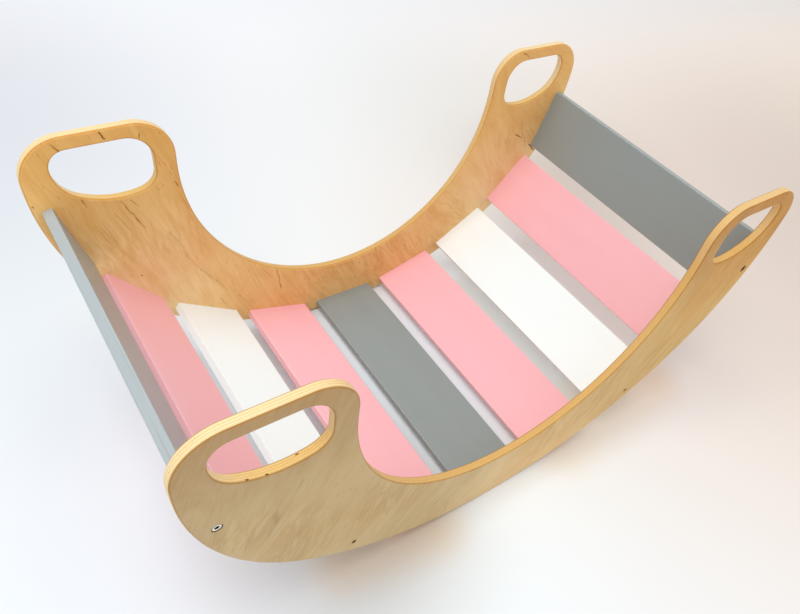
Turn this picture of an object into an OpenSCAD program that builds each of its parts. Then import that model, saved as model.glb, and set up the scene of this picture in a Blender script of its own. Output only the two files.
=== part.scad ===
// Rocker arch: two bowed plywood side panels with hand holes, joined by nine painted slats.
// Millimetres. X runs along the arch, Y across it, Z up; the arch rests on Z = 0.

/* [Side panels] */
// Height from the floor to the flat crown of the handles
arch_h = 400; // [360:1:440]
// Thickness of the plywood side panels
panel_t = 12; // [9:0.5:18]
// Radius of the rocking edge that meets the floor
rocker_r = 472; // [440:1:520]
// Angle from the lowest point to where the rocking edge tightens into the shoulder
rocker_half_angle = 38.6; // [34:0.1:41]
// Radius of the shoulder that rises from the rocking edge to the handle
shoulder_r = 317; // [300:1:330]
// Width of a handle, from the hollow between the handles to the outer side
handle_w = 167.7; // [150:0.1:185]
// Height of the panels in the middle, under that hollow
waist_h = 90.4; // [75:0.1:110]
// Radius of the outer corner of the handle crown
crown_out_r = 49; // [40:1:60]
// Radius of the inner corner of the handle crown
crown_in_r = 48; // [36:1:54]
// Radius worked along every edge of the panels
panel_edge_r = 3; // [1:0.25:4]

/* [Hand holes] */
// Wood left above the hand hole
grip_rim_top = 17.5; // [14:0.5:24]
// Wood left between the hollow and the hand hole
grip_rim_in = 26; // [20:0.5:32]
// Width of the hand hole
grip_w = 110.5; // [100:0.5:114]
// Height of the hand hole
grip_h = 73.5; // [64:0.5:78]
// Radius of the bowed lower side of the hand hole
grip_bow_r = 95; // [88:1:110]
// Distance from the inner side of the hand hole to its lowest point
grip_bow_x = 40; // [34:0.5:46]
// Radius of the upper corner nearest the hollow
grip_r1 = 31; // [24:1:34]
// Radius of the upper outer corner
grip_r2 = 20.5; // [16:0.5:24]
// Radius of the lower outer corner
grip_r3 = 46; // [40:1:50]
// Radius of the lower corner nearest the hollow
grip_r4 = 24; // [18:1:28]

/* [Slats] */
// Width of a slat
slat_w = 100; // [90:1:104]
// Length of a slat, which is the clear width between the panels
slat_l = 410; // [360:1:460]
// Thickness of a slat
slat_t = 12; // [9:0.5:15]
// How much tighter than the rocking edge the circle is that the upper faces of the slats follow
slat_ring_inset = 45; // [30:1:60]
// Distance from the rocking edge up to the underside of the middle slat
slat_floor = 9.3; // [5:0.1:16]
// Angle from one slat to the next
slat_pitch = 16.28; // [15.5:0.01:18]
// Slope of the two end slats
end_tilt = 73.7; // [70:0.1:80]
// Clear distance between an end slat and its neighbour
end_gap = 17.8; // [14:0.1:26]
// Direction in which the end slat follows its neighbour
end_lead = 61; // [55:1:72]
// Radius along the long edges of a slat
slat_edge_r = 2; // [0.5:0.25:3]

/* [Dowels] */
// Diameter of the wooden dowels
dowel_d = 6; // [5:0.5:8]
// Length of the dowels
dowel_l = 30; // [24:1:40]
// Plywood left behind a dowel hole in the side panel
dowel_cover = 3; // [2:0.5:6]
// Distance from the long edge of a slat to the dowel centre
dowel_inset = 18; // [14:1:26]

/* [Screws] */
// Length of the connector screws that hold the end slats
conn_l = 50; // [40:1:60]
// Thread diameter of the connector screws
conn_d = 7; // [5:0.5:8]
// Head diameter of the connector screws
conn_head_d = 10; // [9.5:0.5:12]
// Height of the flat rim of the connector head
conn_rim_h = 1.6; // [1:0.1:2.5]
// Width across the flats of the socket in the connector head
conn_key = 4; // [3:0.5:5]
// Depth of that socket
conn_key_h = 3; // [2:0.25:4]
// Length of the slim screws that hold the third and seventh slats
slim_l = 45; // [35:1:55]
// Thread diameter of the slim screws
slim_d = 3.8; // [3:0.1:5]
// Head diameter of the slim screws
slim_head_d = 5.6; // [5.2:0.1:8]
// Height of the flat rim of the slim head
slim_rim_h = 0.4; // [0.2:0.1:1]
// Width across the flats of the socket in the slim screw
slim_key = 2.6; // [2:0.1:3]
// Depth of that socket
slim_key_h = 2; // [1:0.25:3]
// Depth of the screw heads below the panel face
head_sink = 0.4; // [0.2:0.1:1]
// Free play around dowels and screws in their holes
bore_play = 0.1; // [0.05:0.05:0.3]
// Free depth beyond the end of each dowel and screw
end_play = 0.5; // [0.3:0.1:2]

/* [Hidden] */
$fn = 64;

ply_col = "burlywood";
grey_col = "slategray";
pink_col = "pink";
white_col = "ivory";
steel_col = "silver";
brass_col = "goldenrod";

// steps along the rocking edge, the shoulder, a crown corner, a hand hole corner and its bow
n_rock = 18;
n_should = 20;
n_crown = 12;
n_grip = 6;
n_bow = 14;
// flats across each worked edge
n_edge = 3;

// distance from the centre plane to the middle plane of a panel
panel_y = slat_l / 2 + panel_t / 2;

function arc(c, r, a0, a1, n) = [for (i = [0:n]) c + r * [cos(a0 + (a1 - a0) * i / n), sin(a0 + (a1 - a0) * i / n)]];
function tail(v) = [for (i = [1:len(v) - 1]) v[i]];
function turned(v) = [for (i = [len(v) - 1:-1:0]) v[i]];
function flipped(v) = [for (p = v) [-p[0], p[1]]];

// Panel outline in the XZ plane: arcs that run into each other without a corner.
rocker_c = [0, rocker_r];
rock_end = rocker_half_angle - 90;
shoulder_c = rocker_c + (rocker_r - shoulder_r) * [cos(rock_end), sin(rock_end)];
out_z = arch_h - crown_out_r;
out_x = shoulder_c[0] + sqrt(pow(shoulder_r - crown_out_r, 2) - pow(out_z - shoulder_c[1], 2));
out_c = [out_x, out_z];
should_end = atan2(out_z - shoulder_c[1], out_x - shoulder_c[0]);
cradle_r = shoulder_c[0] + shoulder_r - handle_w;
cradle_c = [0, waist_h + cradle_r];
// the hollow meets the inner crown corner level with its centre, or below it on a low arch
in_z = arch_h - crown_in_r;
in_dip = asin(max(0, cradle_c[1] - in_z) / (cradle_r + crown_in_r));
in_c = [(cradle_r + crown_in_r) * cos(in_dip), in_z];

// Right half of the outer and inner edges, from the middle up to the crown, inset by d.
function outer_half(d) = concat(
  arc(rocker_c, rocker_r - d, -90, rock_end, n_rock),
  tail(arc(shoulder_c, shoulder_r - d, rock_end, should_end, n_should)),
  tail(arc(out_c, crown_out_r - d, should_end, 90, n_crown))
);
function inner_half(d) = concat(
  arc(cradle_c, cradle_r + d, -90, -in_dip, n_rock + n_should - 1),
  arc(in_c, crown_in_r - d, 180 - in_dip, 90, n_crown)
);
function both_halves(v) = concat(turned(flipped(tail(v))), v);
function panel_loop(d) = concat(both_halves(outer_half(d)), turned(both_halves(inner_half(d))));

// Hand hole outline, widened by d, counter-clockwise.
grip_x0 = cradle_r + grip_rim_in;
grip_x1 = grip_x0 + grip_w;
grip_z1 = arch_h - grip_rim_top;
grip_bow_c = [grip_x0 + grip_bow_x, grip_z1 - grip_h + grip_bow_r];
function on_bow(x, r) = [x, grip_bow_c[1] - sqrt(pow(grip_bow_r - r, 2) - pow(x - grip_bow_c[0], 2))];
grip_c3 = on_bow(grip_x1 - grip_r3, grip_r3);
grip_c4 = on_bow(grip_x0 + grip_r4, grip_r4);
function heading(p, q) = atan2(q[1] - p[1], q[0] - p[0]);
grip_a3 = heading(grip_bow_c, grip_c3);
grip_a4 = heading(grip_bow_c, grip_c4);
function grip_loop(d) = concat(
  arc([grip_x0 + grip_r1, grip_z1 - grip_r1], grip_r1 + d, 90, 180, n_grip),
  tail(arc(grip_c4, grip_r4 + d, 180, 360 + grip_a4, n_grip)),
  tail(arc(grip_bow_c, grip_bow_r + d, grip_a4, grip_a3, n_bow)),
  tail(arc(grip_c3, grip_r3 + d, grip_a3, 0, n_grip)),
  arc([grip_x1 - grip_r2, grip_z1 - grip_r2], grip_r2 + d, 0, 90, n_grip)
);

// Rings of a worked edge as [height across the panel, inset], from one face to the other.
function edge_rings() = let (h = panel_t / 2, r = panel_edge_r) concat(
  [for (i = [n_edge:-1:0]) [-h + r - r * sin(90 * i / n_edge), r - r * cos(90 * i / n_edge)]],
  [for (i = [0:n_edge]) [h - r + r * sin(90 * i / n_edge), r - r * cos(90 * i / n_edge)]]
);
function wall_faces(n, m) = [
  for (j = [0:m - 2]) for (i = [0:n - 1])
    [j * n + i, (j + 1) * n + i, (j + 1) * n + (i + 1) % n, j * n + (i + 1) % n]
];

// The panel blank: outline rings through the thickness, closed by two bands of flat faces.
module panel_blank() {
  rings = edge_rings();
  m = len(rings);
  n = len(panel_loop(0));
  last = (m - 1) * n;
  points = [for (k = rings) for (p = panel_loop(k[1])) [p[0], p[1], k[0]]];
  rungs = [0:n / 2 - 2];
  low = [for (i = rungs) [i, i + 1, n - 2 - i, n - 1 - i]];
  high = [for (i = rungs) [last + i + 1, last + i, last + n - 1 - i, last + n - 2 - i]];
  polyhedron(points = points, faces = concat(wall_faces(n, m), low, high));
}

// The cutter of a hand hole, flared at both faces so that it leaves a worked edge.
module grip_cutter() {
  r = panel_edge_r;
  rings = concat([[-panel_t / 2 - r, r]], edge_rings(), [[panel_t / 2 + r, r]]);
  m = len(rings);
  n = len(grip_loop(0));
  points = [for (k = rings) for (p = grip_loop(k[1])) [p[0], p[1], k[0]]];
  low = [[for (i = [0:n - 1]) i]];
  high = [[for (i = [n - 1:-1:0]) (m - 1) * n + i]];
  polyhedron(points = points, faces = concat(wall_faces(n, m), low, high));
}

// Places of the slats: [X, Z, slope] of the middle of the upper face, slats 1 to 9 from the left.
slat_ring_r = rocker_r - slat_ring_inset;
slat_c_z = slat_floor + slat_t + slat_ring_r;
function ring_place(k) = [slat_ring_r * sin(k * slat_pitch), slat_c_z - slat_ring_r * cos(k * slat_pitch), k * slat_pitch];
side_place = ring_place(3);
end_corner = [side_place[0], side_place[1]] + slat_w / 2 * [cos(side_place[2]), sin(side_place[2])]
  + end_gap * [cos(end_lead), sin(end_lead)];
end_mid = end_corner + slat_w / 2 * [cos(end_tilt), sin(end_tilt)];
function slat_place(n) = n == 9 ? [end_mid[0], end_mid[1], end_tilt]
  : n == 1 ? [-end_mid[0], end_mid[1], -end_tilt]
  : ring_place(n - 5);
END_SLATS = [1, 9];
SLIM_SLATS = [3, 7];

// Brings what is drawn at the middle of a slat's upper face, at its rear end, to slat n.
module at_slat(n) {
  p = slat_place(n);
  translate([p[0], 0, p[1]]) rotate([0, -p[2], 0]) children();
}

// The same at both ends of the slat, with -Y pointing from the panel into the slat.
module at_both_ends() {
  for (s = [0, 1]) mirror([0, s, 0]) translate([0, slat_l / 2, -slat_t / 2]) children();
}

module rod(d, from, to) {
  translate([0, from, 0]) rotate([-90, 0, 0]) cylinder(d = d, h = to - from);
}

// A screw turned in one piece: shank, cone and head rim, given as Y of its tip, neck, rim and top.
module screw_body(d, head_d, tip, neck, rim, top) {
  rotate([-90, 0, 0]) rotate_extrude()
    polygon([[0, tip], [d / 2, tip], [d / 2, neck], [head_d / 2, rim], [head_d / 2, top], [0, top]]);
}

module socket(key, from, to) {
  translate([0, from, 0]) rotate([-90, 0, 0]) cylinder(d = key / cos(30), h = to - from, $fn = 6);
}

// Fasteners, drawn along Y with Y = 0 at the joint face.
dowel_sink = panel_t - dowel_cover - end_play;
module dowel_pair(play, ends) {
  for (s = [-1, 1]) translate([s * (slat_w / 2 - dowel_inset), 0, 0])
    rod(dowel_d + 2 * play, dowel_sink - dowel_l - ends, dowel_sink + ends);
}

screw_top = panel_t - head_sink;
bore_top = panel_t + panel_edge_r;
conn_rim = screw_top - conn_rim_h;
conn_neck = conn_rim - (conn_head_d - conn_d) / 2;
module connector(play, ends, top) {
  screw_body(conn_d + 2 * play, conn_head_d + 2 * play, screw_top - conn_l - ends, conn_neck, conn_rim, top);
}

slim_rim = screw_top - slim_rim_h;
slim_neck = slim_rim - (slim_head_d - slim_d);
module slim(play, ends, top) {
  screw_body(slim_d + 2 * play, slim_head_d + 2 * play, screw_top - slim_l - ends, slim_neck, slim_rim, top);
}

// Every hole that the fasteners need at slat n.
module slat_bores(n) {
  at_slat(n) at_both_ends() {
    dowel_pair(bore_play, end_play);
    if (len(search(n, END_SLATS)) > 0) connector(bore_play, end_play, bore_top);
    if (len(search(n, SLIM_SLATS)) > 0) slim(bore_play, end_play, bore_top);
  }
}

module side_panel(side) {
  color(ply_col) difference() {
    translate([0, side * panel_y, 0]) rotate([90, 0, 0]) difference() {
      panel_blank();
      for (s = [0, 1]) mirror([s, 0, 0]) grip_cutter();
    }
    for (n = [1:9]) slat_bores(n);
  }
}

module front_side_panel() { side_panel(-1); }
module rear_side_panel() { side_panel(1); }

// A slat: a flat board with its four long edges eased, bored at both ends.
function slat_profile() = let (x = slat_w / 2 - slat_edge_r, z = slat_t / 2 - slat_edge_r) concat(
  arc([x, z], slat_edge_r, 0, 90, 4),
  arc([-x, z], slat_edge_r, 90, 180, 4),
  arc([-x, -z], slat_edge_r, 180, 270, 4),
  arc([x, -z], slat_edge_r, 270, 360, 4)
);
module slat(n, col) {
  color(col) difference() {
    at_slat(n) translate([0, slat_l / 2, -slat_t / 2]) rotate([90, 0, 0])
      linear_extrude(height = slat_l) polygon(slat_profile());
    slat_bores(n);
  }
}
module slat_1() { slat(1, grey_col); }
module slat_2() { slat(2, pink_col); }
module slat_3() { slat(3, white_col); }
module slat_4() { slat(4, pink_col); }
module slat_5() { slat(5, grey_col); }
module slat_6() { slat(6, pink_col); }
module slat_7() { slat(7, white_col); }
module slat_8() { slat(8, pink_col); }
module slat_9() { slat(9, grey_col); }

module dowels() {
  color(ply_col) for (n = [1:9]) at_slat(n) at_both_ends() dowel_pair(0, 0);
}

module connector_screws() {
  color(steel_col) for (n = END_SLATS) at_slat(n) at_both_ends() difference() {
    connector(0, 0, screw_top);
    socket(conn_key, screw_top - conn_key_h, bore_top);
  }
}

module slim_screws() {
  color(brass_col) for (n = SLIM_SLATS) at_slat(n) at_both_ends() difference() {
    slim(0, 0, screw_top);
    socket(slim_key, screw_top - slim_key_h, bore_top);
  }
}

front_side_panel();
rear_side_panel();
slat_1();
slat_2();
slat_3();
slat_4();
slat_5();
slat_6();
slat_7();
slat_8();
slat_9();
dowels();
connector_screws();
slim_screws();
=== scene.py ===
"""Rocker arch: birch plywood side panels, painted slats and countersunk screws, on a pale studio floor."""

import math

import bmesh
import bpy
import numpy as np
from mathutils import Matrix, Vector
from mathutils.geometry import tessellate_polygon


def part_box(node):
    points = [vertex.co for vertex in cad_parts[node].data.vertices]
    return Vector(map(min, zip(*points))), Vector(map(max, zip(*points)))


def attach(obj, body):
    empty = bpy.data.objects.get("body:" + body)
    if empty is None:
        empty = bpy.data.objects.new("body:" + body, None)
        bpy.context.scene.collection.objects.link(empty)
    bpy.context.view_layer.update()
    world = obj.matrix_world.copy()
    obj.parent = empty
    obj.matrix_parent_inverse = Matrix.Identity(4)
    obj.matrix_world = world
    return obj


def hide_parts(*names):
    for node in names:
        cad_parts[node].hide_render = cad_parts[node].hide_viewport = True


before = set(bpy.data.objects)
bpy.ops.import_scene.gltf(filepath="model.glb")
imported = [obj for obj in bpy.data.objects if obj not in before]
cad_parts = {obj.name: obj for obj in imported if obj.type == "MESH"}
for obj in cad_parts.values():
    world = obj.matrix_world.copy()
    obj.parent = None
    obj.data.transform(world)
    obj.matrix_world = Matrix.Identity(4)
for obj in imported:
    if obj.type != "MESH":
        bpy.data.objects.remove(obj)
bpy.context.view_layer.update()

# ---------------------------------------------------------------- sizes, in metres and degrees

PANEL_LOW, PANEL_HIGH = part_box("front_side_panel")
ARCH_H = PANEL_HIGH.z
PANEL_T = PANEL_HIGH.y - PANEL_LOW.y
SLAT_L = -2 * PANEL_HIGH.y
PANEL_FACE = SLAT_L / 2 + PANEL_T
PLIES = 9

# a side panel: its rocking edge, shoulders, hollow and crowns
ROCKER_R = 0.472
ROCKER_HALF_ANGLE = 38.6
SHOULDER_R = 0.317
HANDLE_W = 0.1677
WAIST_H = 0.0904
CROWN_OUT_R = 0.049
CROWN_IN_R = 0.048
EDGE_R = 0.003

# a hand hole: the wood left round it, its size, the bow of its lower side and its corners
GRIP_RIM_TOP = 0.0175
GRIP_RIM_IN = 0.026
GRIP_W = 0.1105
GRIP_H = 0.0735
GRIP_BOW_R = 0.095
GRIP_BOW_X = 0.040
GRIP_CORNERS = {"top_in": 0.031, "low_in": 0.024, "low_out": 0.046, "top_out": 0.0205}

# the slats: seven on a circle inside the rocking edge, and one steep slat at each end
SLAT_W = 0.100
SLAT_T = 0.012
SLAT_EDGE_R = 0.002
SLAT_RING_INSET = 0.045
SLAT_FLOOR = 0.0093
SLAT_PITCH = 16.28
MIDDLE_SLAT = 5
RING_SIDE = 3
END_TILT = 73.7
END_GAP = 0.0178
END_LEAD = 61.0
COLOURS = dict(enumerate(("grey", "pink", "white", "pink", "grey", "pink", "white", "pink", "grey"), 1))

# the dowels' bores in the slat ends
DOWEL_BORE_R = 0.0031
DOWEL_BORE_DEPTH = 0.022
DOWEL_INSET = 0.018

# the two kinds of screws: head, shank, the head's straight rim, the cone under it and the hex socket
CONN = {
    "head_r": 0.005,
    "shank_r": 0.0035,
    "rim": 0.0016,
    "neck": 0.0015,
    "length": 0.050,
    "key": 0.004,
    "key_depth": 0.003,
}
SLIM = {
    "head_r": 0.0028,
    "shank_r": 0.0019,
    "rim": 0.0004,
    "neck": 0.0018,
    "length": 0.045,
    "key": 0.0026,
    "key_depth": 0.002,
}
SCREWED = {1: CONN, 3: SLIM, 7: SLIM, 9: CONN}
HEAD_SINK = 0.0004
TIP_L, TIP_END = 1.5, 0.2  # the shank's tip, in shank radii
RIM_SOFT = 0.3  # share of the rim that is rounded, and of the rounding at its middle
KEY_MOUTH = 1.06  # the socket's mouth, in corner radii of its hexagon
KEY_MOUTH_BEVEL = ((0.0, 1.02), (0.00012, 0.97))  # depth, and radius in mouth radii
KEY_LIP = 0.00045  # depth at which the bevel meets the hexagon
KEY_FOOT = 0.97, 0.93  # where the hexagon's foot turns in, as shares of its depth and width
DRILL_POINT = 0.0004, 0.12  # depth of the drill's point under the socket, and its share of the width

# the bores: play round the screws and at their tips, and the rounded mouth with its middle point
BORE_PLAY = 0.0001
TIP_PLAY = BORE_PLAY * 5
MOUTH_R = 0.0004
MOUTH_MIDDLE = 0.3, 0.4

# how fine the surfaces are: points along arcs, the ring beside a rounded edge, and counts
STEP = 0.005
SUPPORT = 0.0004
EDGE_STEPS = 7
SLAT_STATIONS = 9
SLAT_EDGE_STEPS = 4
BORE_SIDES = 48
DOWEL_BORE_SIDES = 24
SCREW_SIDES = 72
SAME_PLACE = 1e-7

# ---------------------------------------------------------------- outlines


def arc(centre, radius, grow, start, end, step=STEP):
    """Points of centre + (radius + grow) x (cos, sin) from one angle to another, about a step apart before
    growing."""
    count = max(3, math.ceil(abs(math.radians(end - start)) * radius / step))
    turn = np.radians(np.linspace(start, end, count + 1))
    return np.asarray(centre) + (radius + grow) * np.stack([np.cos(turn), np.sin(turn)], 1)


def circle(centre, radius, count):
    """Closed ring of centre + radius x (cos, sin)."""
    turn = np.linspace(0, 2 * np.pi, count, endpoint=False)
    return np.asarray(centre) + radius * np.stack([np.cos(turn), np.sin(turn)], 1)


def joined(*runs):
    """Runs of points one after another, without the points in which two runs meet."""
    points = np.concatenate(runs)
    apart = np.linalg.norm(points - np.roll(points, 1, axis=0), axis=1)
    return points[apart > SAME_PLACE]


def heading(angle):
    """Direction at an angle in degrees."""
    return np.array([math.cos(math.radians(angle)), math.sin(math.radians(angle))])


def mirrored(points):
    """The same run on the other side of the arch, in the opposite order."""
    return (points * (-1, 1))[::-1]


ROCK_END = ROCKER_HALF_ANGLE - 90
ROCKER_C = np.array([0, ROCKER_R])
SHOULDER_C = ROCKER_C + (ROCKER_R - SHOULDER_R) * heading(ROCK_END)
OUT_Z = ARCH_H - CROWN_OUT_R
OUT_X = SHOULDER_C[0] + math.sqrt((SHOULDER_R - CROWN_OUT_R) ** 2 - (OUT_Z - SHOULDER_C[1]) ** 2)
SHOULDER_END = math.degrees(math.atan2(OUT_Z - SHOULDER_C[1], OUT_X - SHOULDER_C[0]))
CRADLE_R = SHOULDER_C[0] + SHOULDER_R - HANDLE_W
CRADLE_C = (0, WAIST_H + CRADLE_R)
IN_C = (CRADLE_R + CROWN_IN_R, ARCH_H - CROWN_IN_R)


def panel_outline(inset):
    """Closed outline of a side panel in X and Z, inset by a distance: rocking edge, shoulders, crowns and
    hollow are arcs that run into each other, so the inset only changes their radii."""
    outer = joined(
        arc(ROCKER_C, ROCKER_R, -inset, -90, ROCK_END),
        arc(SHOULDER_C, SHOULDER_R, -inset, ROCK_END, SHOULDER_END),
        arc((OUT_X, OUT_Z), CROWN_OUT_R, -inset, SHOULDER_END, 90, STEP / 2),
    )
    inner = joined(
        arc(CRADLE_C, CRADLE_R, inset, -90, 0),
        arc(IN_C, CROWN_IN_R, -inset, 180, 90, STEP / 2),
    )
    return joined(mirrored(outer), outer, inner[::-1], mirrored(inner)[::-1])


GRIP_X0 = CRADLE_R + GRIP_RIM_IN
GRIP_X1 = GRIP_X0 + GRIP_W
GRIP_Z1 = ARCH_H - GRIP_RIM_TOP
GRIP_BOW_C = np.array([GRIP_X0 + GRIP_BOW_X, GRIP_Z1 - GRIP_H + GRIP_BOW_R])


def grip_outline(widen, side):
    """Closed outline of a hand hole, widened by a distance: a straight top, four corners and a bowed lower
    side, whose corners touch the bow from inside."""
    top_in, low_in, low_out, top_out = GRIP_CORNERS.values()

    def corner_on_bow(x, radius):
        """Middle of a lower corner, as far from the bow's middle as the difference of their radii."""
        reach = math.sqrt((GRIP_BOW_R - radius) ** 2 - (x - GRIP_BOW_C[0]) ** 2)
        return np.array([x, GRIP_BOW_C[1] - reach])

    def turn_on_bow(corner):
        """Angle in degrees at which a corner touches the bow."""
        return math.degrees(math.atan2(corner[1] - GRIP_BOW_C[1], corner[0] - GRIP_BOW_C[0]))

    in_c, out_c = corner_on_bow(GRIP_X0 + low_in, low_in), corner_on_bow(GRIP_X1 - low_out, low_out)
    in_turn, out_turn = turn_on_bow(in_c), turn_on_bow(out_c)
    step = STEP / 2
    loop = joined(
        arc((GRIP_X0 + top_in, GRIP_Z1 - top_in), top_in, widen, 90, 180, step),
        arc(in_c, low_in, widen, 180, 360 + in_turn, step),
        arc(GRIP_BOW_C, GRIP_BOW_R, widen, in_turn, out_turn, step),
        arc(out_c, low_out, widen, out_turn, 0, step),
        arc((GRIP_X1 - top_out, GRIP_Z1 - top_out), top_out, widen, 0, 90, step),
    )
    return loop if side > 0 else mirrored(loop)


def slat_places():
    """Middle of the upper face and slope of each slat, from the left: seven follow a circle at equal angles,
    and the two end slats follow their neighbours with a gap and a direction of their own."""
    ring_r = ROCKER_R - SLAT_RING_INSET
    ring_c = np.array([0, SLAT_FLOOR + SLAT_T + ring_r])
    ring = {}
    for pitches in range(-RING_SIDE, RING_SIDE + 1):
        slope = pitches * SLAT_PITCH
        ring[MIDDLE_SLAT + pitches] = (ring_c + ring_r * heading(slope - 90), slope)
    beside, slope = ring[MIDDLE_SLAT + RING_SIDE]
    end = beside + SLAT_W / 2 * heading(slope) + END_GAP * heading(END_LEAD) + SLAT_W / 2 * heading(END_TILT)
    return {1: (end * (-1, 1), -END_TILT), **ring, 9: (end, END_TILT)}


SLATS = slat_places()


def slat_axes(n):
    """Middle line of slat n in X and Z, with its directions across the slat and out of its upper face."""
    (x, z), slope = SLATS[n]
    across, up = heading(slope), heading(slope + 90)
    return np.array([x, z]) - up * SLAT_T / 2, across, up


# ---------------------------------------------------------------- meshes


def ring_faces(first, rows, columns):
    """Four-sided faces of a grid of points whose rows are closed rings."""
    row, column = np.meshgrid(np.arange(rows - 1), np.arange(columns), indexing="ij")
    here, beside = first + row * columns + column, first + row * columns + (column + 1) % columns
    return np.stack([here, beside, beside + columns, here + columns], -1).reshape(-1, 4)


def placed(loop, y):
    """A loop in X and Z as points in space at depth Y."""
    return np.stack([loop[:, 0], np.full(len(loop), y), loop[:, 1]], 1)


class Body:
    """A closed mesh put together from ring bands and flat faces between their first or last rings."""

    def __init__(self):
        self.points, self.faces, self.count = [], [], 0

    def band(self, rings):
        """Adds rings of equal length as one band. Gives the point numbers of its first and last ring."""
        rows, columns, _ = rings.shape
        self.points.append(rings.reshape(-1, 3))
        self.faces += ring_faces(self.count, rows, columns).tolist()
        first = np.arange(columns) + self.count
        self.count += rows * columns
        return first, first + (rows - 1) * columns

    def flat(self, *loops):
        """Closes the space between loops of points at one depth Y, the first one outermost."""
        across_y = np.concatenate(self.points) * (1, 0, 1)
        corners = tessellate_polygon([across_y[loop][:, [0, 2, 1]] for loop in loops])
        self.faces += np.concatenate(loops)[np.array(corners)].tolist()

    def piece(self, name, finish, slot, crease, board=None):
        """Makes the mesh object, faces outwards, smooth up to the crease angle, riding on the arch. Board
        gives each point its place on a board for the finish."""
        mesh = bpy.data.meshes.new(name)
        points = np.concatenate(self.points)
        mesh.from_pydata(points.tolist(), [], self.faces)
        worked = bmesh.new()
        worked.from_mesh(mesh)
        bmesh.ops.recalc_face_normals(worked, faces=worked.faces)
        worked.to_mesh(mesh)
        worked.free()
        mesh.shade_smooth()
        mesh.set_sharp_from_angle(angle=math.radians(crease))
        if board is not None:
            stored = mesh.attributes.new("board", "FLOAT_VECTOR", "POINT")
            stored.data.foreach_set("vector", board(points).astype(np.float32).ravel())
        mesh.materials.append(finish)
        made = bpy.data.objects.new(name, mesh)
        bpy.context.scene.collection.objects.link(made)
        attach(made, "root")
        return made


def rounded_profile(thickness, radius):
    """Edge of a board as (height, inset) from one face to the other: a quarter round, the wall and a quarter
    round, with one more ring just inside each face so that the faces stay flat."""
    turn = np.radians(np.linspace(0, 90, EDGE_STEPS + 1))
    low = radius - radius * np.stack([np.cos(turn), np.sin(turn)], 1)
    low = np.concatenate([[(0, radius + SUPPORT)], low])
    high = low[::-1] * (-1, 1) + (thickness, 0)
    return np.concatenate([low, high])


def screw_bore(screw):
    """Profile of a screw's bore in a panel as (depth, radius): a rounded mouth, the wall beside the head, the
    cone under it and the shank's bore."""
    head, shank = screw["head_r"] + BORE_PLAY, screw["shank_r"] + BORE_PLAY
    rim = HEAD_SINK + screw["rim"]
    in_share, out_share = MOUTH_MIDDLE
    return [
        (0, head + MOUTH_R + SUPPORT),
        (0, head + MOUTH_R),
        (MOUTH_R * in_share, head + MOUTH_R * out_share),
        (MOUTH_R, head),
        (rim, head),
        (rim + screw["neck"], shank),
        (PANEL_T, shank),
    ]


def side_panel(side, finish):
    """A side panel: its outline carried through the thickness with a rounded edge, two hand holes worked the
    same way, and four bores that are countersunk from outside."""
    body, outer_loops, inner_loops = Body(), [], []

    def carry(loops):
        """Adds a band through loops at their depths from the outer face."""
        rings = [placed(loop, side * PANEL_FACE - side * depth) for depth, loop in loops]
        first, last = body.band(np.stack(rings))
        outer_loops.append(first)
        inner_loops.append(last)

    profile = rounded_profile(PANEL_T, EDGE_R)
    carry([(height, panel_outline(inset)) for height, inset in profile])
    for end in (-1, 1):
        carry([(height, grip_outline(inset, end)) for height, inset in profile])
    for n, screw in SCREWED.items():
        middle = slat_axes(n)[0]
        carry([(depth, circle(middle, radius, BORE_SIDES)) for depth, radius in screw_bore(screw)])
    body.flat(*outer_loops)
    body.flat(*inner_loops)
    name = "front" if side < 0 else "rear"
    made = body.piece(f"{name}_panel_board", finish, "plywood", crease=40)
    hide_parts(f"{name}_side_panel")


BOARD_STEP = 0.83  # boards lie this far apart in board coordinates, so that no two get the same pattern


def slat_section():
    """Section of a slat as a closed loop (across, up): four straight sides and four rounded corners, each
    with one more point on either side so that the faces stay flat."""
    runs = []
    for quarter, (across, up) in enumerate([(1, 1), (-1, 1), (-1, -1), (1, -1)]):
        start = quarter * 90
        middle = (across * (SLAT_W / 2 - SLAT_EDGE_R), up * (SLAT_T / 2 - SLAT_EDGE_R))
        bend = arc(middle, SLAT_EDGE_R, 0, start, start + 90, SLAT_EDGE_R / SLAT_EDGE_STEPS)
        before = bend[0] - 2 * SUPPORT * heading(start + 90)
        after = bend[-1] + 2 * SUPPORT * heading(start + 180)
        runs.append(np.concatenate([[before], bend, [after]]))
    return np.concatenate(runs)


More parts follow.
